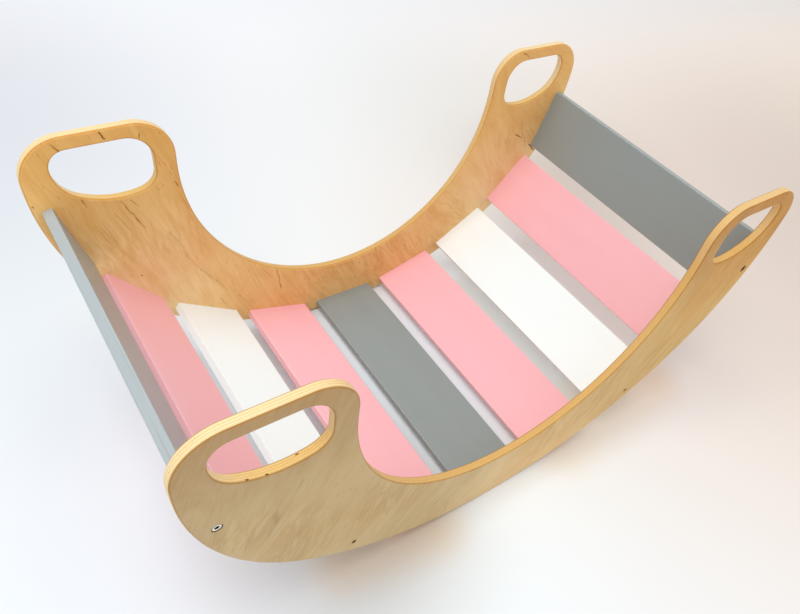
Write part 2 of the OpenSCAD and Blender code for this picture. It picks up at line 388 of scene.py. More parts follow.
def slat_board(n, finish, slot):
    """A slat: its eased section carried from panel to panel, bored for dowels and screws at both ends. Each
    point keeps its place on the board (across, along, depth from the upper face) for the paint."""
    middle, across, up = slat_axes(n)
    ends = (-SLAT_L / 2, SLAT_L / 2)

    def in_place(loop, y):
        """A loop across and up, in space at depth Y."""
        return placed(middle + loop[:, :1] * across + loop[:, 1:] * up, y)

    body, section = Body(), slat_section()
    low, high = body.band(np.stack([in_place(section, y) for y in np.linspace(*ends, SLAT_STATIONS)]))
    bores = [((s * (SLAT_W / 2 - DOWEL_INSET), 0), DOWEL_BORE_R, DOWEL_BORE_DEPTH) for s in (-1, 1)]
    if n in SCREWED:
        screw = SCREWED[n]
        depth = screw["length"] + HEAD_SINK + TIP_PLAY - PANEL_T
        bores.append(((0, 0), screw["shank_r"] + BORE_PLAY, depth))
    for edge, y, inward in ((low, ends[0], 1), (high, ends[1], -1)):
        mouths = []
        for centre, radius, depth in bores:
            loop = circle(centre, radius, DOWEL_BORE_SIDES)
            mouth, bottom = body.band(np.stack([in_place(loop, y), in_place(loop, y + inward * depth)]))
            mouths.append(mouth)
            body.faces.append(bottom.tolist())
        body.flat(edge, *mouths)

    def on_board(points):
        """Points across, along and below the upper face of this board."""
        xz = points[:, [0, 2]] - middle
        return np.stack([xz @ across, points[:, 1] + BOARD_STEP * n, SLAT_T / 2 - xz @ up], 1)

    made = body.piece(f"slat_{n}_board", finish, slot, crease=50, board=on_board)
    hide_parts(f"slat_{n}")


def screw_profile(screw):
    """Profile of a screw as (height, radius, share of the hexagon), from the tip of the shank over the head's
    rim into the socket: the radius is the plain one plus the share of the hexagon's."""
    length, shank, head, rim = screw["length"], screw["shank_r"], screw["head_r"], screw["rim"]
    soft = rim * RIM_SOFT
    mouth = screw["key"] / 2 / math.cos(math.radians(30)) * KEY_MOUTH
    pit = screw["key_depth"]
    foot_depth, foot_width = KEY_FOOT
    point_depth, point_width = DRILL_POINT
    return [
        (-length, TIP_END * shank, 0),
        (-length + shank * TIP_L, shank, 0),
        (-rim - screw["neck"], shank, 0),
        (-rim, head, 0),
        (-soft, head, 0),
        (-soft * RIM_SOFT, head - soft * RIM_SOFT, 0),
        (0, head - soft, 0),
        *((-depth, mouth * width, 0) for depth, width in KEY_MOUTH_BEVEL),
        (-KEY_LIP, 0, 1),
        (-pit * foot_depth, 0, 1),
        (-pit, 0, foot_width),
        (-pit - point_depth, 0, point_width),
    ]


def screws(name, node, screw, which, finish, slot):
    """The screws of one kind in one mesh: a profile turned about each screw's axis. The socket's radius
    follows a hexagon: flat distance / cos(turn - 30). Each is turned by its slat's number, in radians."""
    turn = np.linspace(0, 2 * np.pi, SCREW_SIDES, endpoint=False)
    hexagon = (screw["key"] / 2) / np.cos(turn % (np.pi / 3) - np.pi / 6)
    body = Body()
    for n in which:
        spokes = np.stack([np.cos(turn + n), np.sin(turn + n)], 1)
        for side in (-1, 1):
            rings = []
            for height, radius, share in screw_profile(screw):
                loop = slat_axes(n)[0] + (radius + share * hexagon)[:, None] * spokes
                rings.append(placed(loop, side * (PANEL_FACE - HEAD_SINK + height)))
            tip, pit = body.band(np.stack(rings))
            body.faces += [tip.tolist(), pit.tolist()]
    made = body.piece(name, finish, slot, crease=35)
    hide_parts(node)


# ---------------------------------------------------------------- finishes


def seen(red, green, blue):
    """A colour as it is read off a screen, 0 to 255, in the linear values that a shader takes."""
    screen = np.array([red, green, blue]) / 255
    linear = np.where(screen <= 0.04045, screen / 12.92, ((screen + 0.055) / 1.055) ** 2.4)
    return (*linear.tolist(), 1.0)


class Finish:
    """A material and short calls that add its nodes. Each gives an output, which the next call takes."""

    def __init__(self, name, **shader):
        self.material = bpy.data.materials.new(name)
        self.material.use_nodes = True
        self.tree = self.material.node_tree
        self.shader = self.tree.nodes["Principled BSDF"]
        self.fill(self.shader, {key.replace("_", " "): value for key, value in shader.items()})

    def fill(self, node, sockets):
        """Links or sets the inputs of a node."""
        for key, value in sockets.items():
            if isinstance(value, bpy.types.NodeSocket):
                self.tree.links.new(value, node.inputs[key])
            else:
                node.inputs[key].default_value = value

    def node(self, kind, sockets, **settings):
        """A new node with all its outputs."""
        made = self.tree.nodes.new(kind)
        for key, value in settings.items():
            setattr(made, key, value)
        self.fill(made, sockets)
        return made

    def put(self, kind, sockets, output=0, **settings):
        """One output of a new node."""
        return self.node(kind, sockets, **settings).outputs[output]

    def place(self):
        """The place on the object, in metres."""
        return self.put("ShaderNodeTexCoord", {}, output=3)

    def parts(self, vector):
        """The three numbers of a vector."""
        return tuple(self.node("ShaderNodeSeparateXYZ", {0: vector}).outputs)

    def calc(self, operation, *values):
        """One step of arithmetic."""
        return self.put("ShaderNodeMath", dict(enumerate(values)), operation=operation)

    def times(self, first, *others):
        """The product of all values."""
        for other in others:
            first = self.calc("MULTIPLY", first, other)
        return first

    def plus(self, first, second):
        return self.calc("ADD", first, second)

    def minus(self, value, taken):
        return self.calc("SUBTRACT", value, taken)

    def scaled(self, value, scale, shift):
        """Value x scale + shift."""
        return self.calc("MULTIPLY_ADD", value, scale, shift)

    def off(self, value, middle):
        """How far a value is from a middle, either way."""
        return self.calc("ABSOLUTE", self.minus(value, middle))

    def either_way(self, value):
        """The size of a value without its sign."""
        return self.calc("ABSOLUTE", value)

    def within(self, value, low, high, to_low=0.0, to_high=1.0):
        """Value as a share of the way from low to high, eased and held at both ends."""
        sockets = {"Value": value, "From Min": low, "From Max": high, "To Min": to_low, "To Max": to_high}
        return self.put("ShaderNodeMapRange", sockets, interpolation_type="SMOOTHSTEP")

    def near(self, value, low, high):
        """One up to low, and down to nothing at high."""
        return self.within(value, low, high, 1.0, 0.0)

    def stretched(self, values, scales):
        """A vector of three values, each times its own scale. A scale of 0 leaves its value out."""
        made = [self.times(value, scale) if scale else 0.0 for value, scale in zip(values, scales)]
        return self.put("ShaderNodeCombineXYZ", dict(enumerate(made)))

    def noise(self, at, scale, detail=2.0, rough=0.5, bend=0.0):
        """Cloudy noise from 0 to 1."""
        sockets = {"Vector": at, "Scale": scale, "Detail": detail, "Roughness": rough, "Distortion": bend}
        return self.put("ShaderNodeTexNoise", sockets)

    def wander(self, at, scale, detail, reach):
        """Noise from -reach to reach."""
        return self.scaled(self.noise(at, scale, detail), 2 * reach, -reach)

    def cells(self, at, **settings):
        """Irregular cells about one unit wide, with their distance, colour and place."""
        return self.node("ShaderNodeTexVoronoi", {"Vector": at, "Scale": 1.0}, **settings)

    def length(self, first, second):
        """Root of the sum of two squares."""
        return self.calc("SQRT", self.plus(self.times(first, first), self.times(second, second)))

    def away(self, first, second, middle):
        """Distance in a plane of two coordinates from a place."""
        return self.length(self.minus(first, float(middle[0])), self.minus(second, float(middle[1])))

    def from_line(self, first, second, start, end):
        """Distance in a plane of two coordinates from the straight line between two places."""
        way = np.array(end) - np.array(start)
        share_of = way / (way @ way)
        from_start = [self.minus(value, float(origin)) for value, origin in zip((first, second), start)]
        share = self.plus(*(self.times(value, float(part)) for value, part in zip(from_start, share_of)))
        share = self.put("ShaderNodeClamp", {0: share})
        rest = [self.minus(value, self.times(share, float(part))) for value, part in zip(from_start, way)]
        return self.length(*rest)

    def blend(self, amount, first, second, how="MIX"):
        """The first colour, and the second where the amount is one."""
        sockets = {0: amount, 6: first, 7: second}
        return self.put("ShaderNodeMix", sockets, output=2, data_type="RGBA", blend_type=how)

    def tint(self, amount, first, second):
        """The first colour, multiplied by the second where the amount is one."""
        return self.blend(amount, first, second, "MULTIPLY")

    def relief(self, height, depth, strength=1.0):
        """Fine relief of the surface, depth in metres."""
        normal = self.put("ShaderNodeBump", {"Height": height, "Distance": depth, "Strength": strength})
        self.fill(self.shader, {"Normal": normal})


# The veneer. Cells and fibres are counted a metre along and across the grain, and fibres go on with the
# detail, roughness and bend of their noise. Clouds and fields are counted a metre, with detail and roughness,
# and wanders and strays with detail and reach. Tones run from one place to another in X or Z; those from
# left to right, and on the right from low to high, are painted light, which fades out round a few spots.
KNOT_CELLS = (7.0, 0, 10.0)
KNOT_SLIM = 0.45
KNOT_REACH = 0.014
KNOT_PULL = 0.9
BENDING_KNOTS = (0.50, 0.56)
PINNED_KNOTS = (0.60, 0.64)
PIN_R = (0.0004, 0.0011)
SLOW_WANDER = (3.2, 2.0, 0.03)
QUICK_WANDER = (11.0, 3.0, 0.011)
FIBRES = {
    "figure": ((5.0, 0, 20.0), 4.0, 0.6, 1.6),
    "flame": ((7.0, 0, 40.0), 3.0, 0.55, 1.8),
    "fine": ((26.0, 0, 330.0), 3.0, 0.65, 0.0),
    "hair": ((60.0, 0, 1500.0), 2.0, 0.6, 0.0),
}
CLOUDS = (6.0, 3.0, 0.6)
MOTTLE = (30.0, 2.0, 0.5)
FLAME_FIELDS = (5.0, 2.0, 0.5)
MINERAL_FIELDS = (10.0, 3.0, 0.6)
MINERAL_CELLS = (4.0, 0, 75.0)
MINERAL_W = 0.00034
FLECK_CELLS = (58.0, 0, 420.0)
FLECK_FIELDS = (8.0, 1.0, 0.5)
VEIN_STRAYS = ((70.0, 2.0, 0.003), (90.0, 2.0, 0.003))
VEIN_BREAKS = (60.0, 3.0, 0.5)
TONES_FROM_LEFT = (-0.05, 0.43)
TONES_FROM_BELOW = (0.08, 0.36)
TOP_TONE_Z = (0.22, 0.40)
UNTINTED_CORE_R = 0.02
VENEER_RELIEF = 0.00012
PLAIN = seen(255, 255, 255)
FLAME_TONE = seen(240, 224, 204)
FIBRE_TONE = seen(236, 220, 198)
PIN_TONE = seen(124, 70, 34)

# The worked edge. Ply patches, pores and voids are counted a metre along X and Z, and shifted for each ply.
PLY_PATCHES = (60.0, 7.3, 60.0)
PORES = (900.0, 900.0, 900.0)
VOID_CELLS = (22.0, 3.7, 22.0)
VOID_SHARE = 0.07
VOID_R = (0.0012, 0.0021)
MIDDLE_X = (0.14, 0.34)
UNDER_GRIP_X = (0.20, 0.27)
UNDER_GRIP_Z = (0.31, 0.345)
# where the painted warm light on the edge rises along X
WARM_LIT_EDGE_X = (-0.05, 0.36)
LONG_GRAIN = seen(254, 236, 190), seen(250, 224, 172)
END_GRAIN = seen(246, 220, 166), seen(238, 204, 142)
ROUNDED_TONE = seen(236, 218, 184)
MIDDLE_TONE = seen(230, 207, 168)
UNDER_GRIP_TONE = seen(248, 232, 196)
PORE_TONE = seen(150, 104, 56)
# tone of the painted warm light on the edge
WARM_LIT_EDGE_TONE = seen(224, 172, 88)
GLUE_TONE = seen(150, 96, 40)
FACE_GLUE_TONE = seen(150, 94, 36)
VOID_TONE = seen(70, 38, 18)
# painted shade round the countersunk bores: its tone, and the width of its ring for each kind of screw
BORE_SHADE_TONE = seen(84, 52, 26)
BORE_SHADE_RINGS = {1: 0.0008, 3: 0.0005}


def veneer_grain(f, place, angle, shift, bow):
    """Coordinates of a veneer along and across its fibres. Across wanders with slow and quick noise and by
    -bow x X squared, and bends round knots, so that every line in it flows round them. Gives also the turned
    place, the distance from the nearest knot and that knot's lot."""
    turn = (0, math.radians(angle), 0)
    turned = f.put("ShaderNodeMapping", {"Vector": place, "Location": shift, "Rotation": turn})
    along, _, across = f.parts(turned)
    knot = f.cells(f.stretched((along, 0, across), KNOT_CELLS))
    knot_along, _, knot_across = f.parts(knot.outputs["Position"])
    off_along = f.minus(along, f.calc("DIVIDE", knot_along, KNOT_CELLS[0]))
    off_across = f.minus(across, f.calc("DIVIDE", knot_across, KNOT_CELLS[2]))
    from_knot = f.length(f.times(off_along, KNOT_SLIM), off_across)
    lot = f.parts(knot.outputs["Color"])[0]
    pull = f.times(f.near(from_knot, 0.0, KNOT_REACH), f.within(lot, *BENDING_KNOTS))
    x = f.parts(place)[0]
    slow = f.scaled(f.times(x, x), -bow, f.wander(place, *SLOW_WANDER))
    across = f.plus(across, f.plus(slow, f.wander(place, *QUICK_WANDER)))
    across = f.minus(across, f.times(off_across, f.times(pull, KNOT_PULL)))
    return turned, along, across, from_knot, lot


def veneer_face(f, place, grain, look):
    """Face of the veneer: pale wood with honey figure, warm clouds and pale mottle, tinted by the place on
    the panel except round a few spots, with flames, fine fibres, mineral lines, flecks, single veins and
    dark pins in the knots. The tint by place is painted light; on the front panel it is cool at the left and
    warm at the right, most on the right handle. The face is also a little darker towards the top. Gives the
    colour and the two finest layers of fibres."""
    turned, along, across, from_knot, lot = grain
    x, _, z = f.parts(place)
    fibres = {}
    for kind, (scales, *manner) in FIBRES.items():
        fibres[kind] = f.noise(f.stretched((along, 0, across), scales), 1.0, *manner)
    fine = fibres["fine"]
    pale, streak = seen(*look["pale"]), seen(*look["streak"])

    colour = f.blend(f.within(fibres["figure"], 0.32, 0.68), pale, seen(*look["honey"]))
    colour = f.blend(f.within(f.noise(place, *CLOUDS), 0.42, 0.72, 0.0, 0.5), colour, seen(*look["warm"]))
    colour = f.blend(f.within(f.noise(turned, *MOTTLE), 0.40, 0.70, 0.0, 0.35), colour, pale)
    # painted light: the tint by place, which fades out round a few spots
    right = f.blend(f.within(z, *TONES_FROM_BELOW), seen(*look["right_low"]), seen(*look["right_high"]))
    tone = f.blend(f.within(x, *TONES_FROM_LEFT), seen(*look["left"]), right)
    for spot in look["untinted_at"]:
        tone = f.blend(f.near(f.away(x, z, spot), UNTINTED_CORE_R, look["untinted_reach"]), tone, PLAIN)
    colour = f.tint(1.0, colour, tone)
    colour = f.tint(f.within(z, *TOP_TONE_Z), colour, seen(*look["top"]))

    flame = f.near(f.off(fibres["flame"], 0.5), 0.0, 0.10)
    flame = f.times(flame, f.within(f.noise(place, *FLAME_FIELDS), 0.45, 0.65))
    colour = f.tint(f.times(flame, 0.6), colour, FLAME_TONE)
    colour = f.tint(f.within(fine, 0.45, 0.80, 0.0, 0.5), colour, FIBRE_TONE)

    border = f.cells(f.stretched((along, 0, across), MINERAL_CELLS), feature="DISTANCE_TO_EDGE").outputs[0]
    mineral = f.near(border, 0.0, MINERAL_W * MINERAL_CELLS[2])
    mineral = f.times(mineral, f.within(f.noise(turned, *MINERAL_FIELDS), 0.575, 0.62))
    colour = f.blend(f.times(mineral, look["lined"]), colour, streak)

    fleck = f.cells(f.stretched((along, 0, across), FLECK_CELLS))
    drawn = f.calc("GREATER_THAN", f.parts(fleck.outputs["Color"])[1], 1.0 - look["flecked"])
    flecks = f.times(f.near(fleck.outputs["Distance"], 0.08, 0.30), drawn)
    flecks = f.times(flecks, f.within(f.noise(place, *FLECK_FIELDS), 0.45, 0.55))
    colour = f.blend(f.times(flecks, 0.55), colour, streak)

    astray = [f.plus(value, f.wander(place, *stray)) for value, stray in zip((x, z), VEIN_STRAYS)]
    broken = f.within(f.noise(place, *VEIN_BREAKS), 0.35, 0.6, 0.5, 1.0)
    for dark, half_w, *run in look["veins"].values():
        for start, end in zip(run, run[1:]):
            vein = f.within(f.from_line(*astray, start, end), half_w * 0.3, half_w, dark, 0.0)
            colour = f.blend(f.times(vein, broken), colour, streak)
    pin = f.times(f.near(from_knot, *PIN_R), f.within(lot, *PINNED_KNOTS))
    colour = f.blend(f.times(pin, 0.75), colour, PIN_TONE)
    return colour, fine, fibres["hair"]


def panel_edge(f, place, look):
    """Worked edge of a panel, by depth in plies from its inner face: long and end grain in turn, with pores,
    a glue line between each two plies and a few voids, browner towards the arch's middle and a little under
    the hand holes, and warmer towards the right as painted warm light. Gives the colour, where the inner
    plies are, the depth from the nearer face in plies, and the voids."""
    x, y, z = f.parts(place)
    aside = f.either_way(x)
    depth = f.times(f.minus(f.either_way(y), SLAT_L / 2), PLIES / PANEL_T)
    ply = f.calc("FLOOR", depth)
    from_face = f.calc("MINIMUM", depth, f.minus(PLIES, depth))
    inner = f.times(f.calc("GREATER_THAN", depth, 1.0), f.calc("LESS_THAN", depth, PLIES - 1.0))

    patch = f.noise(f.stretched((x, ply, z), PLY_PATCHES), 1.0, 3.0, 0.6)
    crossed = f.calc("MODULO", ply, 2.0)
    edge = f.blend(crossed, f.blend(patch, *LONG_GRAIN), f.blend(patch, *END_GRAIN))
    edge = f.tint(f.near(aside, *MIDDLE_X), edge, MIDDLE_TONE)
    under_grip = f.times(f.within(aside, *UNDER_GRIP_X), f.near(z, *UNDER_GRIP_Z))
    edge = f.tint(under_grip, edge, UNDER_GRIP_TONE)
    pores = f.noise(f.stretched((x, y, z), PORES), 1.0, 2.0)
    edge = f.blend(f.within(pores, 0.5, 0.75, 0.0, 0.25), edge, PORE_TONE)
    # painted warm light on the edge, rising towards the right
    edge = f.blend(f.within(x, *WARM_LIT_EDGE_X, 0.0, look["warm_lit_edge"]), edge, WARM_LIT_EDGE_TONE)
    glue = f.within(f.off(f.calc("FRACT", depth), 0.5), 0.36, 0.46)
    edge = f.blend(f.times(glue, 0.55), edge, GLUE_TONE)
    edge = f.blend(f.within(from_face, 1.0, 1.5, 0.55, 0.0), edge, FACE_GLUE_TONE)

    void = f.cells(f.stretched((x, ply, z), VOID_CELLS))
    drawn = f.calc("GREATER_THAN", f.parts(void.outputs["Color"])[2], 1.0 - VOID_SHARE)
    voids = f.times(f.near(void.outputs["Distance"], 0.05, 0.10), drawn)
    for void_x, void_z, layer in look["voids"].values():
        here = f.near(f.away(x, z, (void_x, void_z)), *VOID_R)
        voids = f.calc("MAXIMUM", voids, f.times(here, f.calc("COMPARE", ply, layer, 0.1)))
    edge = f.blend(f.times(voids, 0.85), edge, VOID_TONE)
    return edge, inner, from_face, voids


def birch_plywood(name, look):
    """Varnished birch plywood: the veneer on both faces, which darkens where the edge is rounded, the plies
    between them, and painted shade in rings round the countersunk bores."""
    f = Finish(name, Specular_IOR_Level=0.22)
    place = f.place()
    grain = veneer_grain(f, place, look["grain_angle"], look["shift"], look["bow"])
    colour, fine, hair = veneer_face(f, place, grain, look)
    edge, inner, from_face, voids = panel_edge(f, place, look)
    colour = f.tint(f.within(from_face, 0.05, 0.5), colour, ROUNDED_TONE)
    colour = f.blend(inner, colour, edge)
    x, _, z = f.parts(place)
    # painted shade in a ring round each countersunk bore
    for n, shade_w in BORE_SHADE_RINGS.items():
        bore, head = slat_axes(n)[0], SCREWED[n]["head_r"]
        from_bore = f.away(f.either_way(x), z, bore * (-1, 1))
        colour = f.blend(f.within(from_bore, head, head + shade_w, 0.9, 0.0), colour, BORE_SHADE_TONE)
    rough = f.plus(f.scaled(fine, 0.18, 0.33), f.times(inner, 0.06))
    f.fill(f.shader, {"Base Color": colour, "Roughness": rough})
    height = f.plus(f.times(hair, 0.5), f.minus(f.times(fine, 0.6), f.times(voids, inner)))
    f.relief(height, VENEER_RELIEF, 0.6)
    return f.material


# The paint. Noise as cells a metre (across, along, depth where it is stretched), detail and roughness. Bands
# beside the corners are in radii of the eased edge.
# band of thin paint on the eased corners, which on the pink slats is a painted highlight
THIN_PAINT_AND_HIGHLIGHT_BAND = (0.3, 0.7)
PLY_BAND_SIDE = (0.4, 0.9)
PLY_BAND_FACE = (-0.1, 0.3)
# band along the left end slat's edges that is paler, partly wear and partly painted light
PALE_EDGE_BAND = (-0.05, 0.7)
PAINT_STIPPLE = (900.0, 2.0, 0.6)
PAINT_PATCHES = (120.0, 4.0, 0.7)
PAINT_FIBRES = (380.0, 16.0, 0)
PAINT_ROLL = (30.0, 4.0, 0)
PAINT_LAYERS = (3.1, 25.0, 0)
SANDED_STREAKS = (300.0, 7.0, 900.0)
LEFT_BOARD = (BOARD_STEP * 1.4, BOARD_STEP * 1.6)
SANDED_Y = (BOARD_STEP - SLAT_L / 2, BOARD_STEP + SLAT_L / 3)
PAINT_RELIEF = 0.00010


def in_radii(band):
    """A band beside a slat's corner, from radii of its eased edge to metres."""
    return [SLAT_EDGE_R * share for share in band]


def slat_paint(name, coat, worn, under, left_wear_and_light, shows):
    """Satin paint on plywood, read in board coordinates. The roller leaves a fine stipple, the fibres and
    the plies of the edges show faintly through it, and the paint is thinner on the eased corners; on the pink
    slats the pale colour there is a painted highlight. The left end slat is paler, most along its edges,
    partly from wear and partly as painted light, and sanded in streaks along its edges."""
    f = Finish(name, Specular_IOR_Level=0.5, Coat_Weight=0.15, Coat_Roughness=0.22)
    coat, under = seen(*coat), seen(*under)
    board = f.put("ShaderNodeAttribute", {}, output=1, attribute_name="board")
    across, along, depth = f.parts(board)
    stipple = f.noise(board, *PAINT_STIPPLE)
    fibre = f.noise(f.stretched((across, along, 0), PAINT_FIBRES), 1.0, 4.0, 0.65, 0.3)
    roll = f.noise(f.stretched((across, along, 0), PAINT_ROLL), 1.0, 2.0)

    past_side = f.minus(f.either_way(across), SLAT_W / 2 - SLAT_EDGE_R)
    past_face = f.minus(f.off(depth, SLAT_T / 2), SLAT_T / 2 - SLAT_EDGE_R)
    corner = f.within(f.calc("MINIMUM", past_side, past_face), *in_radii(THIN_PAINT_AND_HIGHLIGHT_BAND))
    # thin paint on the corners; on the pink slats its pale colour is a painted highlight
    thin_paint_and_highlight = f.times(corner, f.within(f.noise(board, *PAINT_PATCHES), 0.30, 0.62))
    on_edge = f.within(past_side, *in_radii(PLY_BAND_SIDE))
    on_edge = f.times(on_edge, f.near(past_face, *in_radii(PLY_BAND_FACE)))

    plies_deep = f.times(depth, PLIES / SLAT_T)
    ply = f.calc("FLOOR", plies_deep)
    crossed = f.calc("MODULO", ply, 2.0)
    seam = f.within(f.off(f.calc("FRACT", plies_deep), 0.5), 0.34, 0.5)
    patch = f.within(f.noise(f.stretched((ply, along, 0), PAINT_LAYERS), 1.0, 3.0, 0.6), 0.35, 0.65)
    plies = f.plus(f.times(seam, 0.55), f.times(f.times(crossed, patch), 0.45))
    plies = f.times(on_edge, plies)

    colour = f.blend(f.within(roll, 0.3, 0.7, 0.0, 0.5), coat, seen(*worn))
    colour = f.blend(f.times(thin_paint_and_highlight, 0.8), colour, under)
    # the left end slat is paler, most along its edges: partly wear, partly painted light
    left_end = f.near(along, *LEFT_BOARD)
    left_edge = f.times(f.within(past_side, *in_radii(PALE_EDGE_BAND)), left_end)
    colour = f.blend(f.times(left_end, left_wear_and_light), colour, under)
    colour = f.blend(f.times(left_edge, left_wear_and_light * 4), colour, under)
    sanded = f.noise(f.stretched((across, along, depth), SANDED_STREAKS), 1.0, 3.0, 0.7)
    sanded = f.times(f.within(sanded, 0.48, 0.68), f.within(along, *SANDED_Y, 1.0, 0.25))
    colour = f.blend(f.times(f.times(left_edge, sanded), left_wear_and_light * 4), colour, coat)
    colour = f.blend(f.times(plies, shows), colour, under)
    f.fill(f.shader, {"Base Color": colour, "Roughness": f.scaled(fibre, 0.12, 0.32)})
    height = f.plus(f.times(stipple, 0.4), f.plus(f.times(fibre, 0.5), f.times(plies, -0.8)))
    f.relief(height, PAINT_RELIEF, 0.5)
    return f.material


# The dowels. Flecks are counted a metre along each axis.
BEECH = seen(222, 188, 142), seen(176, 130, 86)
BEECH_FLECKS = (900.0, 60.0, 900.0)
BEECH_RELIEF = 0.0001


def dowel_beech(name):
    """Beech dowels: short dark flecks along the pin."""
    f = Finish(name, Roughness=0.6)
    streak = f.noise(f.stretched(f.parts(f.place()), BEECH_FLECKS), 1.0, 3.0, 0.6)
    f.fill(f.shader, {"Base Color": f.blend(f.within(streak, 0.35, 0.7), *BEECH)})
    f.relief(streak, BEECH_RELIEF)
    return f.material


# The metal. Noise as cells a metre, detail, roughness and bend. The painted shade on the head's rim is in
# radii of the head, and the painted shade in the socket begins at a depth under the head's top.
METAL_SCRATCHES = (2600.0, 3.0, 0.7, 1.0)
METAL_STAINS = (500.0, 2.0)
METAL_RELIEF = 0.00002
RIGHT_END_X = (0.2, 0.3)
# painted shade on the head's outer rim: where it begins and where it is full, in radii of the head
RIM_SHADE_BAND = (0.82, 0.92)
# painted shade in the socket: the depths where it begins and where it is full
SOCKET_SHADE_DEPTH = (0.0001, 0.0005)
RIM_SHADE_TONE = seen(104, 82, 56)
SOCKET_SHADE_TONE = seen(14, 12, 10)


def turned_metal(name, n, bright, dull, right_end_tone, rough):
    """Turned and plated screw at slat n: fine scratches, duller stains, painted shade on the outer rim of the
    head, which sits sunk in its bore, and painted shade in the socket. Screws to the right are darker."""
    f = Finish(name, Metallic=1.0)
    place = f.place()
    x, y, z = f.parts(place)
    scratch = f.noise(place, *METAL_SCRATCHES)
    colour = f.blend(f.within(f.noise(place, *METAL_STAINS), 0.35, 0.7), seen(*bright), seen(*dull))
    # screws to the right take a darker tone
    colour = f.blend(f.within(x, *RIGHT_END_X), colour, seen(*right_end_tone))
    bore, head = slat_axes(n)[0], SCREWED[n]["head_r"]
    from_axis = f.away(f.either_way(x), z, bore * (-1, 1))
    # painted shade on the head's outer rim, sunk in its bore
    rim = f.within(from_axis, head * RIM_SHADE_BAND[0], head * RIM_SHADE_BAND[1])
    colour = f.blend(rim, colour, RIM_SHADE_TONE)
    # painted shade in the socket, from just under the head's top
    sunk = f.minus(PANEL_FACE - HEAD_SINK, f.either_way(y))
    colour = f.blend(f.within(sunk, *SOCKET_SHADE_DEPTH), colour, SOCKET_SHADE_TONE)
    f.fill(f.shader, {"Base Color": colour, "Roughness": f.scaled(scratch, 0.2, rough - 0.1)})
    f.relief(scratch, METAL_RELIEF)
    return f.material


# Places in X and Z. A void has its ply from the inner face. A vein has its darkness, half its width and the
# places through which it runs.
HAND_HOLE_VOIDS = {
    "outer": (-0.352, 0.318, 7.0),
    "next to it": (-0.3345, 0.312, 7.0),
    "inner": (-0.303, 0.309, 2.0),
}
INNER_VEINS = {
    "under the left hand hole": (0.8, 0.0010, (-0.319, 0.304), (-0.308, 0.283), (-0.298, 0.257)),
    "next to it": (0.5, 0.0010, (-0.306, 0.302), (-0.299, 0.290)),
    "at its outer corner": (0.6, 0.0014, (-0.359, 0.318), (-0.357, 0.306)),
    "above slat 4": (0.7, 0.0012, (-0.121, 0.118), (-0.117, 0.098), (-0.115, 0.078)),
    "soft, along the hollow": (
        0.15, 0.0026,
        (-0.270, 0.240), (-0.259, 0.224), (-0.251, 0.195), (-0.235, 0.163), (-0.213, 0.133), (-0.200, 0.108),
    ),
    "beside slat 9": (0.9, 0.0014, (0.320, 0.252), (0.337, 0.241)),
    "under slat 9": (0.9, 0.0018, (0.359, 0.224), (0.376, 0.208)),
    "over the right hand hole": (0.8, 0.0014, (0.290, 0.397), (0.305, 0.388)),
    "over the left hand hole": (1.0, 0.0014, (-0.325, 0.397), (-0.321, 0.388)),
    "over its inner part": (0.8, 0.0012, (-0.284, 0.386), (-0.284, 0.381)),
    "over its outer part": (0.7, 0.0014, (-0.373, 0.393), (-0.368, 0.384)),
    "at its inner corner": (0.8, 0.0014, (-0.253, 0.315), (-0.249, 0.307)),
}
# The front panel's veneer is greyer and darker than the rear panel's: partly its own tone, and partly painted
# light, as its outer face stands in painted shade.
FRONT_PANEL = {
    "grain_angle": 67.0,
    "shift": (0.31, 0.0, 0.17),
    "bow": 0.0,
    "pale": (237, 204, 149),
    "honey": (225, 190, 134),
    "warm": (230, 181, 109),
    "streak": (136, 94, 50),
    # painted light: tones by place, cool at the left, warm at the right and most on the right handle
    "left": (219, 225, 230),
    "right_low": (244, 241, 206),
    "right_high": (240, 213, 142),
    "top": (234, 222, 214),
    "untinted_at": ((0.07, -0.05),),
    "untinted_reach": 0.236,
    # strength of the painted warm light on the edge
    "warm_lit_edge": 0.5,
    "lined": 0.3,
    "flecked": 0.012,
    "voids": HAND_HOLE_VOIDS,
    "veins": {},
}
# The rear panel's veneer is brighter and warmer: partly its own tone, and partly painted warm light that the
# slats throw on its inner face.
REAR_PANEL = {
    "grain_angle": -65.0,
    "shift": (0.72, 0.0, 0.41),
    "bow": 0.6,
    "pale": (249, 220, 166),
    "honey": (238, 199, 135),
    "warm": (246, 196, 142),
    "streak": (134, 74, 8),
    "left": (251, 238, 213),
    "right_low": (251, 238, 213),
    "right_high": (251, 238, 213),
    "top": (246, 236, 214),
    "untinted_at": ((-0.33, 0.125), (0.33, 0.125)),
    "untinted_reach": 0.19,
    "warm_lit_edge": 0.0,
    "lined": 0.35,
    "flecked": 0.04,
    "voids": {},
    "veins": INNER_VEINS,
}
PAINTS = {
    "grey": {
        "coat": (145, 153, 151),
        "worn": (141, 148, 146),
        "under": (184, 194, 199),
        # paleness of the left end slat: partly wear, partly painted light
        "left_wear_and_light": 0.15,
        "shows": 0.3,
    },
    "pink": {
        "coat": (251, 187, 194),
        "worn": (248, 182, 189),
        # the pale colour on the eased corners is a painted highlight
        "under": (255, 216, 216),
        "left_wear_and_light": 0.0,
        "shows": 0.1,
    },
    "white": {
        "coat": (247, 254, 254),
        "worn": (245, 252, 252),
        "under": (224, 226, 217),
        "left_wear_and_light": 0.0,
        "shows": 0.2,
    },
}
NICKEL = {"bright": (238, 234, 222), "dull": (214, 208, 192), "right_end_tone": (110, 84, 58), "rough": 0.3}
YELLOW_ZINC = {"bright": (120, 90, 56), "dull": (92, 66, 40), "right_end_tone": (92, 66, 40), "rough": 0.5}

